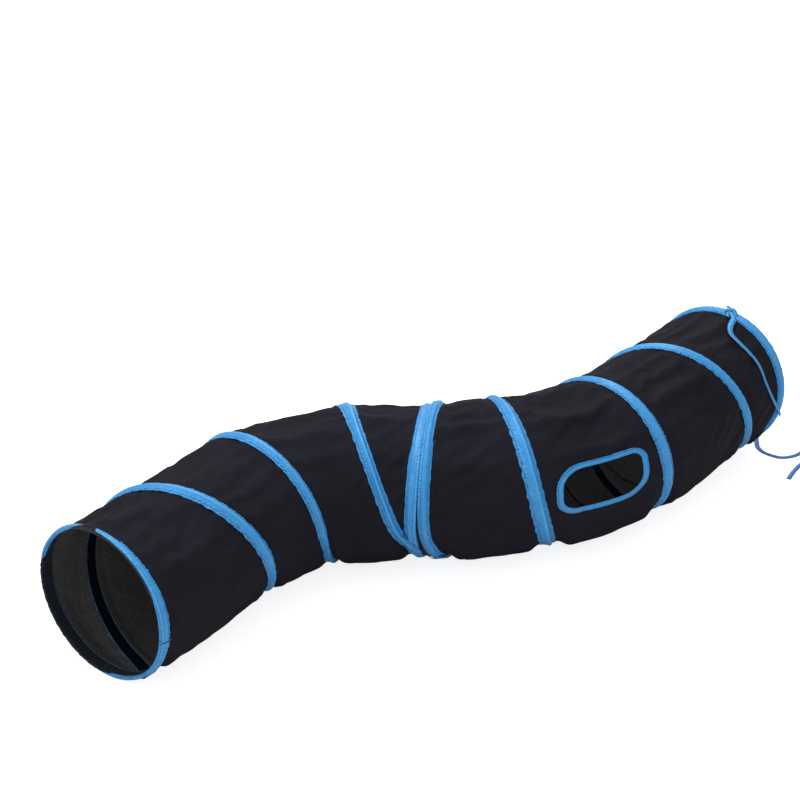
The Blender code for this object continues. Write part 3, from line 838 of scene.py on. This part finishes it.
RING_PROFILE = (
    # distance in from the lip, radius, both in millimetres
    (1.4, 119.6),
    (0.4, 120.4),
    (0.0, 121.4),
    (0.4, 122.5),
    (1.6, 123.3),
    (3.2, 123.9),
    (5.6, 124.5),
    (8.0, 124.9),
    (10.0, 125.1),
    (11.6, 125.0),
    (13.0, 124.2),
    (14.0, 122.9),
    (15.0, 121.9),
    (16.2, 121.2),
    (17.0, 121.5),
    (17.9, 121.4),
    (18.3, 120.8),
    (18.2, 119.7),
)


TOP_NARROWING = 0.13  # how much narrower the centre rings' tape looks on top, where it is rolled in
FOLDED_START = (
    # the same for the first four places, where the tape is folded right round the lip
    (5.0, 117.2),
    (0.0, 116.9),
    (-2.4, 118.6),
    (-2.0, 121.8),
)


def fold_share(name, angle):
    """Where the tape of a ring is folded right over its lip, by angle."""
    if not name.startswith("front_mouth"):
        return np.zeros_like(angle)
    far = smooth((np.cos(angle - math.radians(41)) - 0.84) / 0.16)
    near = smooth((np.cos(angle - math.radians(214)) - 0.30) / 0.60)
    return np.maximum(far, 0.8 * near)


def ring_tape(section, name, at_start, seed, overlap_angle):
    """The tape folded over an end ring, its last centimetres lapped over its beginning."""
    inward, radius = (np.array(part) * MM for part in zip(*RING_PROFILE))
    count = 390
    angle = (overlap_angle + np.arange(count + 1) * math.tau / count)[:, None]
    run = angle * RIDGE_RADIUS
    edge = smooth((inward - 11 * MM) / (7 * MM))
    scallop = np.abs(np.sin(88 * angle)) * 0.45 * MM + ring_ripple(angle, (17, 29, 41), seed) * 0.4 * MM
    inward = inward + scallop * edge
    radius = np.repeat(radius[None], len(angle), axis=0)
    fold = fold_share(name, angle)
    folded_inward, folded_radius = (np.array(part) * MM for part in zip(*FOLDED_START))
    first = len(FOLDED_START)
    inward[:, :first] += (folded_inward - inward[:, :first]) * fold
    radius[:, :first] += (folded_radius - radius[:, :first]) * fold
    if name.startswith("centre"):
        inward = inward * (1 - TOP_NARROWING * smooth((np.cos(angle - math.radians(100)) - 0.8) / 0.2))
    covered = smooth((radius - 119.8 * MM) / (1.2 * MM))
    radius = radius + puckers(run, inward, seed + 2) * 0.6 * MM * covered * (0.25 + 0.75 * edge)
    lap = np.clip((angle - overlap_angle) * RIDGE_RADIUS / (14 * MM), 0, 1)
    radius = radius + 1.1 * MM * (1 - lap) * (lap < 1) * covered
    distance = inward if at_start else section.length - inward
    points = section.points(distance, angle, radius)
    return grid_mesh(name, points, uv_grid(run - overlap_angle * RIDGE_RADIUS, inward - 9 * MM))


def ring_wire(section, name, at_start):
    """One closed turn of wire under the tape of an end ring."""
    angle = (np.arange(201) * math.tau / 200)[:, None]
    swing = (np.arange(9) * math.tau / 8)[None]
    distance = TAPE_WIDTH / 2 if at_start else section.length - TAPE_WIDTH / 2
    points = section.points(
        distance + WIRE_RADIUS * np.cos(swing), angle, WIRE_PATH_RADIUS + WIRE_RADIUS * np.sin(swing)
    )
    uv = uv_grid(angle * WIRE_PATH_RADIUS, swing * WIRE_RADIUS)
    return grid_mesh(name, points[:-1, :-1], uv, close_rows=True, close_columns=True)


def crimp_sleeve(section, name, at_start):
    """The sleeve pressed over the ends of a ring wire: flared mouths and two pressed waists."""
    share = np.linspace(-1, 1, 33)[:, None]
    swing = (np.arange(17) * math.tau / 16)[None]
    pinch = np.exp(-((np.abs(share) - 0.45) / 0.16) ** 2)
    size = CRIMP_RADIUS - 0.35 * MM * pinch + 0.2 * MM * smooth((np.abs(share) - 0.85) / 0.15)
    angle = -math.pi / 2 + share * CRIMP_LENGTH / 2 / WIRE_PATH_RADIUS
    distance = TAPE_WIDTH / 2 if at_start else section.length - TAPE_WIDTH / 2
    points = section.points(distance + size * np.cos(swing), angle, WIRE_PATH_RADIUS + size * np.sin(swing))
    uv = uv_grid(share * CRIMP_LENGTH / 2, swing * CRIMP_RADIUS)
    return grid_mesh(name, points[:, :-1], uv, close_columns=True)


def hem(section, name, at_start, seed):
    """The facing inside a lip, drawn into small gathers; on a mouth it is rolled over the edge."""
    facing = np.linspace(20.0, 1.2, 12)
    flat_inward = np.append(facing, (1.0, 0.8, 0.6, 0.5, 0.5, 0.5)) * MM
    roll_inward = np.append(facing, (0.0, -0.9, -1.5, -1.7, -1.2, 0.2)) * MM
    flat_rise = np.append(np.zeros(12), (0.1, 0.3, 0.5, 0.8, 1.1, 1.3)) * MM
    roll_rise = np.append(np.zeros(12), (0.2, 0.8, 1.7, 2.8, 3.7, 3.6)) * MM
    count = 300
    angle = (np.arange(count + 1) * math.tau / count)[:, None]
    fold = fold_share(name, angle)
    roll = 0.0 if name.startswith("centre") else smooth(1 - 1.6 * fold)
    inward = flat_inward + (roll_inward - flat_inward) * roll
    rise = flat_rise + (roll_rise - flat_rise) * roll
    if name.startswith("front_mouth"):
        rise = rise * (1 + 0.9 * mouth_tuck(angle))
    free = smooth(inward / (6 * MM))
    gathered = ring_ripple(angle, (31, 43, 57, 74, 91), seed) * 0.5 * MM * free
    scallop = ring_ripple(angle, (37, 52, 77, 96), seed + 3) * 0.5 * MM * (1 - free) * roll
    under_tape = 1.2 * MM * fold * (1 - smooth((inward - 4 * MM) / (4 * MM)))
    radius = 118.0 * MM - 0.25 * MM * free + gathered + rise + under_tape
    distance = inward + scallop if at_start else section.length - inward - scallop
    points = section.points(*(part[:-1] for part in np.broadcast_arrays(distance, angle, radius)))
    uv = uv_grid(angle * RIDGE_RADIUS, inward)
    return grid_mesh(name, points, uv, close_rows=True)


def seam_sleeve():
    """The short cloth sleeve between the two centre lips, hanging slack between them."""
    count = 200
    angle = (np.arange(count + 1) * math.tau / count)[:, None]
    share = np.linspace(0, 1, 9)
    near = front.points(front.length - 1 * MM, angle, SLEEVE_RADIUS)
    far = rear.points(1 * MM, angle, SLEEVE_RADIUS)
    points = near + (far - near) * share[None, :, None]
    slack = 0.9 * MM + 0.9 * MM * np.sin(angle) + ring_ripple(angle, (19, 31, 44), 8) * 0.3 * MM
    hang = SLEEVE_HANG * smooth((-np.sin(angle) - 0.5) / 0.4)
    sag = np.sin(math.pi * share) * (slack - hang)
    x, y, _ = (float(v) for v in front.plan(front.length + SEAM_GAP / 2))
    inwards = np.array((x, y, AXIS_HEIGHT)) - points
    inwards /= np.linalg.norm(inwards, axis=-1, keepdims=True)
    points = points + inwards * sag[..., None]
    points[..., 2] = np.maximum(points[..., 2], FLOOR_GAP)
    uv = uv_grid(angle * RIDGE_RADIUS, share * SEAM_GAP)
    return grid_mesh("centre_seam_sleeve_look", points[:-1], uv, close_rows=True)


BINDING_PROFILE = (
    # distance out from the edge of the opening, radius, both in millimetres
    (7.4, 118.8),
    (4.0, 118.4),
    (1.0, 118.3),
    (-0.7, 118.9),
    (-1.0, 119.9),
    (-0.5, 121.0),
    (0.9, 121.7),
    (2.8, 121.9),
    (4.8, 121.6),
    (5.8, 121.0),
    (6.7, 121.4),
    (7.4, 121.0),
    (7.5, 119.6),
)


def peephole_outline(count):
    """Evenly spaced places round the peephole, their outward directions, and the way round."""
    half = np.array((PEEPHOLE_LENGTH, PEEPHOLE_HEIGHT)) / 2
    path = []
    quadrants = ((1, 1), (-1, 1), (-1, -1), (1, -1))
    for number, (quadrant, corner) in enumerate(zip(quadrants, PEEPHOLE_CORNERS)):
        swing = (number + np.linspace(0, 1, 13)) * math.pi / 2
        middle = np.array(quadrant) * (half - corner)
        path.append(middle + corner * np.stack((np.cos(swing), np.sin(swing)), axis=-1))
    path = np.concatenate(path + [path[0][:1]])
    run = np.concatenate(([0], np.cumsum(np.linalg.norm(np.diff(path, axis=0), axis=1))))
    even = np.arange(count) * run[-1] / count
    spots = np.stack([np.interp(even, run, path[:, k]) for k in (0, 1)], axis=-1)
    ahead = np.roll(spots, -2, axis=0) - np.roll(spots, 2, axis=0)
    ahead /= np.linalg.norm(ahead, axis=1, keepdims=True)
    return spots, np.stack((ahead[:, 1], -ahead[:, 0]), axis=-1), run[-1]


def peephole_binding():
    """The tape folded over the edge of the peephole."""
    count = 180
    spots, outward, total = peephole_outline(count)
    margin, radius = (np.array(part) * MM for part in zip(*BINDING_PROFILE))
    run = (np.arange(count) * total / count)[:, None]
    phase = run / total * math.tau
    wobble = ring_ripple(phase, (5, 9, 16, 27), 21) * 0.35 * MM
    margin = margin + wobble * smooth(np.abs(margin) / (6 * MM))
    radius = radius + ring_ripple(phase, (7, 13, 24), 22) * 0.2 * MM
    along = PEEPHOLE_CENTRE + spots[:, :1] + outward[:, :1] * margin
    around = PEEPHOLE_ANGLE - (spots[:, 1:] + outward[:, 1:] * margin) / FABRIC_RADIUS
    points = rear.points(along, around, radius)
    run = np.append(run, [[total]], axis=0)
    uv = uv_grid(run, np.append(margin, margin[:1], axis=0) - 3.2 * MM)
    return grid_mesh("peephole_binding_look", points, uv, close_rows=True)


# ---------------------------------------------------------------- the tie ribbons


def smooth_path(marks, step):
    """Evenly spaced places on a smooth curve through marks (Catmull-Rom)."""
    marks = np.asarray(marks, float)
    padded = np.vstack((2 * marks[0] - marks[1], marks, 2 * marks[-1] - marks[-2]))
    fine = []
    for a, b, c, d in zip(padded, padded[1:], padded[2:], padded[3:]):
        for t in np.linspace(0, 1, 12, endpoint=False):
            fine.append(
                0.5 * (2 * b + (c - a) * t + (2 * a - 5 * b + 4 * c - d) * t * t
                       + (3 * b - a - 3 * c + d) * t ** 3)
            )
    fine = np.array(fine + [marks[-1]])
    run = np.concatenate(([0], np.cumsum(np.linalg.norm(np.diff(fine[:, :3], axis=0), axis=1))))
    even = np.arange(0, run[-1], step)
    return np.stack([np.interp(even, run, fine[:, k]) for k in range(fine.shape[1])], axis=-1)


def ribbon(name, path, normals, widths):
    """A folded ribbon along a path: two soft layers with a groove between their edges."""
    ahead = np.gradient(path, axis=0)
    ahead /= np.linalg.norm(ahead, axis=1, keepdims=True)
    side = np.cross(normals, ahead)
    side /= np.linalg.norm(side, axis=1, keepdims=True)
    up = np.cross(ahead, side)
    profile = (
        (-1.0, 0.0), (-1.02, 0.6), (-0.8, 1.2), (-0.45, 1.3), (-0.12, 1.0), (0.0, 0.45),
        (0.12, 1.0), (0.45, 1.3), (0.8, 1.2), (1.02, 0.6), (1.0, 0.0), (0.0, -0.1),
    )
    across = np.array([a for a, b in profile])
    high = np.array([b for a, b in profile]) * MM
    half = widths[:, None] / 2
    run = np.concatenate(([0], np.cumsum(np.linalg.norm(np.diff(path, axis=0), axis=1))))
    points = path[:, None] + side[:, None] * (half * across)[..., None] + up[:, None] * high[None, :, None]
    uv = uv_grid(run[:, None], np.hstack((half * across, (half * across)[:, :1])))
    return grid_mesh(name, points, uv, close_columns=True)


# ---------------------------------------------------------------- assembly

front = Section(
    "front", FRONT_ARCS, FRONT_COIL,
    ["front_mouth"] + [f"front_panel_{k}" for k in (1, 2, 3, 4)] + ["centre_front_ring"],
)
rear = Section(
    "rear", REAR_ARCS, REAR_COIL,
    ["centre_rear_ring"] + [f"rear_panel_{k}" for k in (1, 2, 3, 4)] + ["rear_mouth"],
)
front.put(front.length - TAPE_WIDTH / 2, 0.0, 0.0, CENTRE_HEADING)
lip_x, lip_y, lip_heading = (float(v) for v in front.plan(front.length + SEAM_GAP))
rear.put(0.0, lip_x, lip_y, lip_heading)

BLACK = black_cloth()
HEM = hem_cloth()
BLUE = blue_tape("blue_tape", 10.0, (-8.2, 7.3), ridge=2.4)
BLUE_RING = blue_tape("blue_ring_tape", 9.0, (7.2,), ridge=-6.6, lapped=True)
BLUE_BINDING = blue_tape("blue_binding_tape", 5.0, (2.6,))
BLUE_TIE = blue_tape("blue_tie_tape", 4.0, (), ridge=-1.6)
BLUE_FLOOR_TIE = blue_tape("blue_floor_tie_tape", 4.0, (), ridge=-1.6, deep=True)
STEEL = metal("spring_steel", (0.30, 0.31, 0.33, 1), (0.55, 0.56, 0.58, 1), 0.3)
ZINC = metal("crimp_zinc", (0.42, 0.42, 0.44, 1), (0.68, 0.68, 0.70, 1), 0.45)

for section in (front, rear):
    tube = cloth_tube(section)
    tube.data.materials.append(BLACK)
    cut_and_ride(tube, section, "fabric")
    tape = coil_tape(section)
    tape.data.materials.append(BLUE)
    cut_and_ride(tape, section, "coil_tape")
    spring = coil_wire(section)
    spring.data.materials.append(STEEL)
    cut_and_ride(spring, section, "coil_wire")

RINGS = (
    # section, body, at the start of the section, seed, where the tape laps over itself
    (front, "front_mouth", True, 31, 188),
    (front, "centre_front_ring", False, 41, 20),
    (rear, "centre_rear_ring", True, 51, 340),
    (rear, "rear_mouth", False, 61, 300),
)
for section, body, at_start, seed, overlap in RINGS:
    prefix = body.removesuffix("_ring")
    ring_looks = (
        # kind of piece, made by, material, slot
        ("ring_tape", ring_tape, (seed, math.radians(overlap)), BLUE_RING, "blue_binding"),
        ("hem", hem, (seed + 5,), HEM, "black_fabric"),
        ("ring_wire", ring_wire, (), STEEL, "spring_steel_wire"),
        ("ring_crimp", crimp_sleeve, (), ZINC, "crimp_metal"),
    )
    for kind, make, extra, finish, slot in ring_looks:
        piece = make(section, f"{prefix}_{kind}_look", at_start, *extra)
        piece.data.materials.append(finish)
        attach(piece, body)
        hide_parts(f"{prefix}_{kind}")

sleeve = seam_sleeve()
# the sleeve wears the hem cloth, with its painted shade
sleeve.data.materials.append(HEM)
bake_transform(sleeve)
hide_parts("centre_seam_sleeve")

binding = peephole_binding()
binding.data.materials.append(BLUE_BINDING)
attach(binding, "rear_panel_2")
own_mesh(binding)
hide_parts("peephole_binding")

def tube_ribbon(name, marks, widths):
    """A ribbon lying along the rear section, through marks of distance, angle and radius."""
    along, around, reach = (np.array(marks) * (MM, math.pi / 180, MM)).T
    path = smooth_path(rear.points(along, around, reach), 1.5 * MM)
    share = np.linspace(0, 1, len(path))
    axis = rear.points(np.interp(share, np.linspace(0, 1, len(along)), along), 0.0, 0.0)
    spread = np.interp(share, np.linspace(0, 1, len(widths)), widths) * MM
    made = ribbon(name, path, path - axis, spread)
    made.data.materials.append(BLUE_TIE)
    return made


# The ribbon that hangs from the knot: distance along, angle, radius. The marks follow points of the
# photograph projected onto the tube by a separate program, then adjusted by hand.
TOP_TIE_MARKS = (
    (640, 95, 127.5), (634, 98.5, 128.4), (624, 103.5, 127.0), (604, 107, 124.6), (589, 113, 123.4),
    (587, 123, 122.6), (590, 132, 122.4), (594, 141, 122.4), (596, 150, 122.4), (597, 160, 122.4),
    (604, 170, 122.6), (614, 179, 123.4), (625, 187, 125.8), (635, 193, 127.2), (643, 198, 127.8),
)
top_tie = tube_ribbon("top_tie_ribbon_look", TOP_TIE_MARKS, (9, 10, 8, 6.5, 5.5, 5, 5, 5))
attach(top_tie, "top_tie")
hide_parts("top_tie_ribbon")

# The knot: the ribbon's wrap round the rear mouth's tape, a turn across it, and one short end
KNOT_WRAP_MARKS = (
    (646, 96, 117.6), (651, 96, 119.5), (651.5, 96, 123), (648, 96, 126), (640, 96, 127.3),
    (633, 96.5, 126.5), (629, 97, 124), (627, 97, 121.5),
)
KNOT_TURN_MARKS = (
    (634, 92.5, 126.2), (637, 93.8, 129.2), (640, 96, 130.6), (641, 98.6, 130.2), (639, 101, 127.6),
    (636, 102.4, 125.8),
)
KNOT_END_MARKS = ((638, 96, 129), (642, 94.2, 129.8), (646, 92.4, 129.6), (649, 90.8, 128.6))
for suffix, marks, widths in (
    ("wrap", KNOT_WRAP_MARKS, (9, 10, 9, 8)),
    ("turn", KNOT_TURN_MARKS, (5, 9, 10, 7, 4)),
    ("end", KNOT_END_MARKS, (5, 6, 7)),
):
    piece = tube_ribbon(f"top_tie_knot_{suffix}_look", marks, widths)
    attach(piece, "rear_mouth")
    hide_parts("top_tie_knot")

# The ribbon on the floor: distance ahead of the rear lip, distance to its left. The marks follow
# points of the photograph projected onto the floor; the part outside the picture is a guess.
FLOOR_TIE_MARKS = (
    (0, 0), (20, -4), (38, -14), (47, -33), (41, -56), (22, -70), (6, -82), (-3, -98), (-4, -116),
    (0, -132), (14, -144), (34, -150), (56, -148), (74, -150), (80, -160), (70, -169), (48, -171),
    (20, -170), (-8, -170), (-34, -173), (-58, -178),
)
mouth_x, mouth_y, mouth_heading = (float(v) for v in rear.plan(rear.length + 1 * MM))
ahead, aside = (np.array(FLOOR_TIE_MARKS) * MM).T
floor_marks = np.stack(
    (
        mouth_x + ahead * math.cos(mouth_heading) - aside * math.sin(mouth_heading),
        mouth_y + ahead * math.sin(mouth_heading) + aside * math.cos(mouth_heading),
        np.full(len(ahead), 0.4 * MM),
    ),
    axis=-1,
)
floor_path = smooth_path(floor_marks, 2.5 * MM)
floor_up = np.tile((0.0, 0.0, 1.0), (len(floor_path), 1))
floor_widths = np.full(len(floor_path), 8 * MM)
floor_tie = ribbon("floor_tie_ribbon_look", floor_path, floor_up, floor_widths)
floor_tie.data.materials.append(BLUE_FLOOR_TIE)
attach(floor_tie, "floor_tie")
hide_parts("floor_tie_ribbon")

# ---------------------------------------------------------------- floor, light and camera

bpy.ops.mesh.primitive_plane_add(size=40, location=(0, 0, -0.1 * MM))
floor = bpy.context.object
floor.name = "floor"
paper = Nodes("pale_floor")
seen = paper.add("ShaderNodeLightPath").outputs["Is Camera Ray"]
glow = paper.math("MULTIPLY", seen, 0.80)
paper.finish(Base_Color=(0.75, 0.75, 0.75, 1), Roughness=0.9, Specular_IOR_Level=0.0,
             Emission_Color=(1, 1, 1, 1), Emission_Strength=glow)
floor.data.materials.append(paper.material)


def area_light(name, place, target, size, power):
    data = bpy.data.lights.new(name, "AREA")
    data.shape = "SQUARE"
    data.size = size
    data.energy = power
    light = bpy.data.objects.new(name, data)
    light.location = place
    light.rotation_euler = (Vector(target) - Vector(place)).to_track_quat("-Z", "Y").to_euler()
    bpy.context.scene.collection.objects.link(light)


MIDDLE = (0.0, 0.05, 0.1)
ROOM_LIGHT = 0.52
area_light("key", (-0.5, 0.3, 2.6), MIDDLE, 1.4, 36)
area_light("front", (0.3, -2.8, 1.0), MIDDLE, 2.0, 9)
area_light("back", (0.6, 2.4, 1.8), MIDDLE, 1.6, 14)
area_light("side", (-2.4, -0.8, 0.9), MIDDLE, 1.2, 6)

world = bpy.data.worlds.new("white_room")
bpy.context.scene.world = world
world.use_nodes = True
background = world.node_tree.nodes["Background"]
background.inputs["Color"].default_value = (1, 1, 1, 1)
seen = world.node_tree.nodes.new("ShaderNodeLightPath")
strength = world.node_tree.nodes.new("ShaderNodeMapRange")
strength.inputs["To Min"].default_value = ROOM_LIGHT
world.node_tree.links.new(seen.outputs["Is Camera Ray"], strength.inputs["Value"])
world.node_tree.links.new(strength.outputs[0], background.inputs["Strength"])
bpy.context.scene.view_settings.view_transform = "Standard"

# The camera is the one that a separate program fitted to the photograph
CAMERA_TARGET = Vector((-0.0022, 0.4875, 0.0))
CAMERA_DISTANCE = 4.004
CAMERA_ELEVATION = math.radians(28.51)
CAMERA_YAW = math.radians(-3.39)
CAMERA_LENS = 100.04  # millimetres, on a sensor 36 mm wide
lens = bpy.data.cameras.new("camera")
lens.lens = CAMERA_LENS
lens.sensor_width = 36
camera = bpy.data.objects.new("camera", lens)
back = Vector((
    math.sin(CAMERA_YAW) * math.cos(CAMERA_ELEVATION),
    -math.cos(CAMERA_YAW) * math.cos(CAMERA_ELEVATION),
    math.sin(CAMERA_ELEVATION),
))
camera.location = CAMERA_TARGET + back * CAMERA_DISTANCE
camera.rotation_euler = (-back).to_track_quat("-Z", "Y").to_euler()
bpy.context.scene.collection.objects.link(camera)
bpy.context.scene.camera = camera
